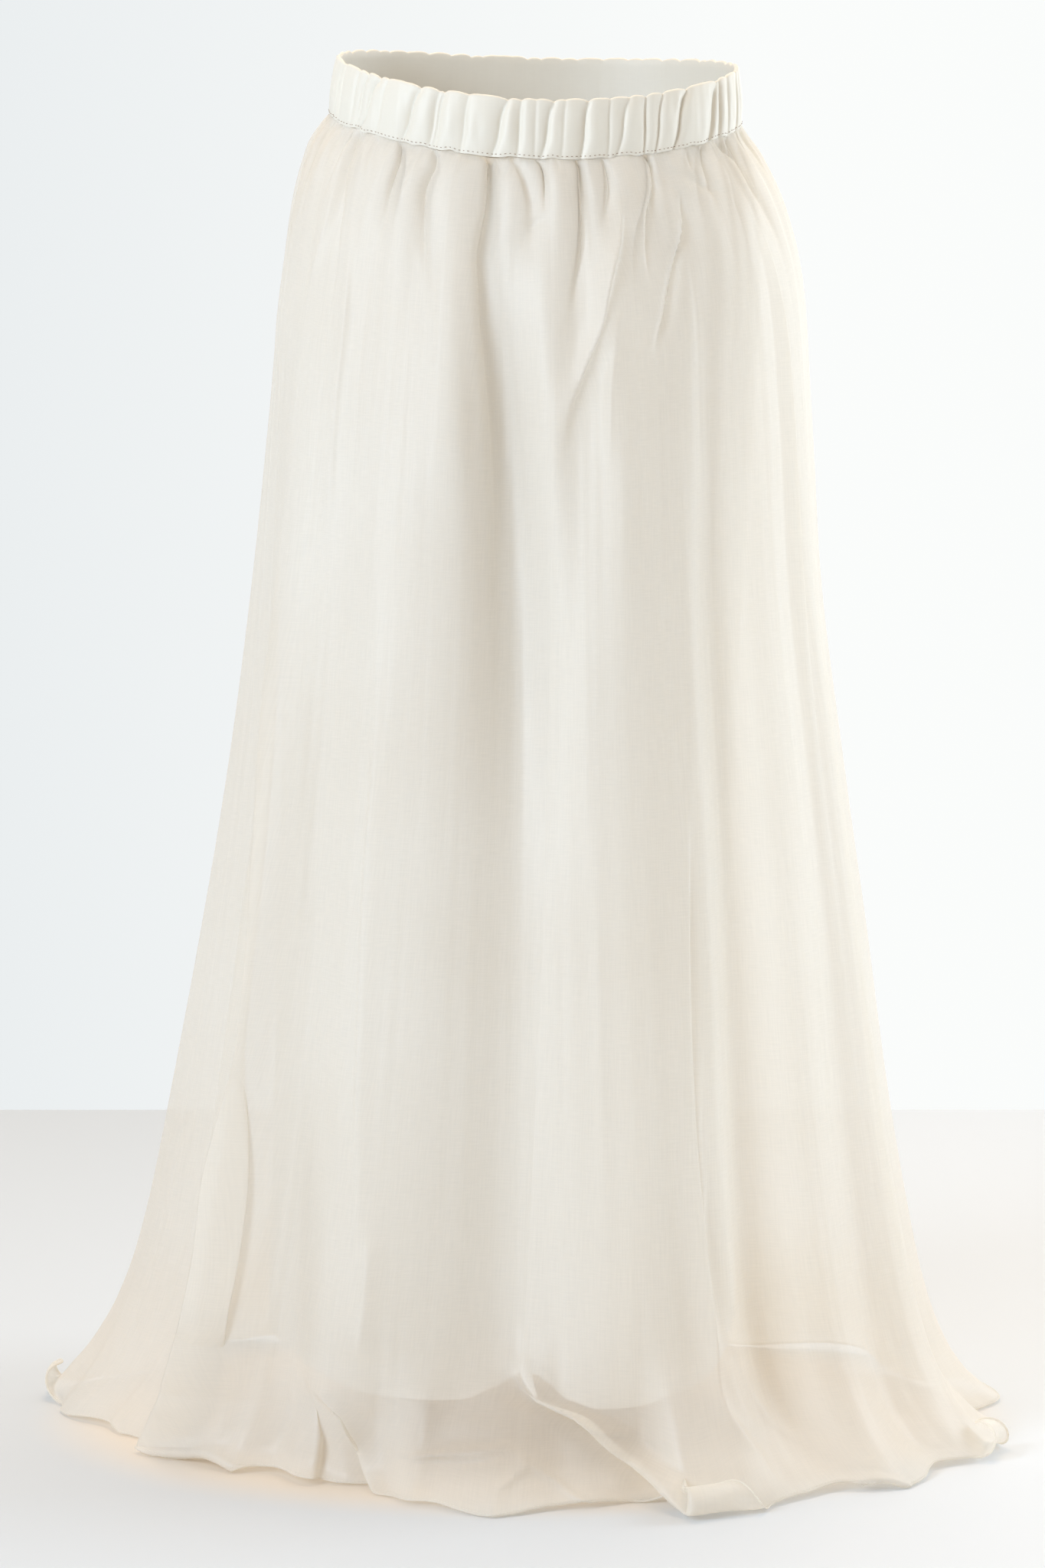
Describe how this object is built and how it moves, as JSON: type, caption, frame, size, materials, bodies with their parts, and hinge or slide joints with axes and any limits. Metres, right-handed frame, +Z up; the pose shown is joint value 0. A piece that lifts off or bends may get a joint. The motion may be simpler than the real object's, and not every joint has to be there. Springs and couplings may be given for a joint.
{
  "type": "maxi skirt",
  "caption": "Floor-length gathered skirt with an elasticated waistband, a full sheer outer layer that puddles at the hem and a slimmer opaque lining.",
  "frame": {"origin": "middle of the waist opening, at half the waistband's height", "axes": "+Z up, the front faces -Y, +X is the right side of the picture"},
  "size_m": [0.7384, 0.5708, 1.0363],
  "materials": {
    "casing": "two layers of ivory organza over elastic, soft sheen",
    "sheer": "sheer ivory silk organza, soft sheen",
    "lining": "opaque ivory crepe-backed satin, low sheen"
  },
  "bodies": {
    "root": {"waistband_front": "casing", "waistband_back": "casing", "skirt_front_left": "sheer", "skirt_front_right": "sheer", "skirt_back": "sheer", "lining_front_left": "lining", "lining_front_right": "lining", "lining_back": "lining"}
  },
  "joints": []
}
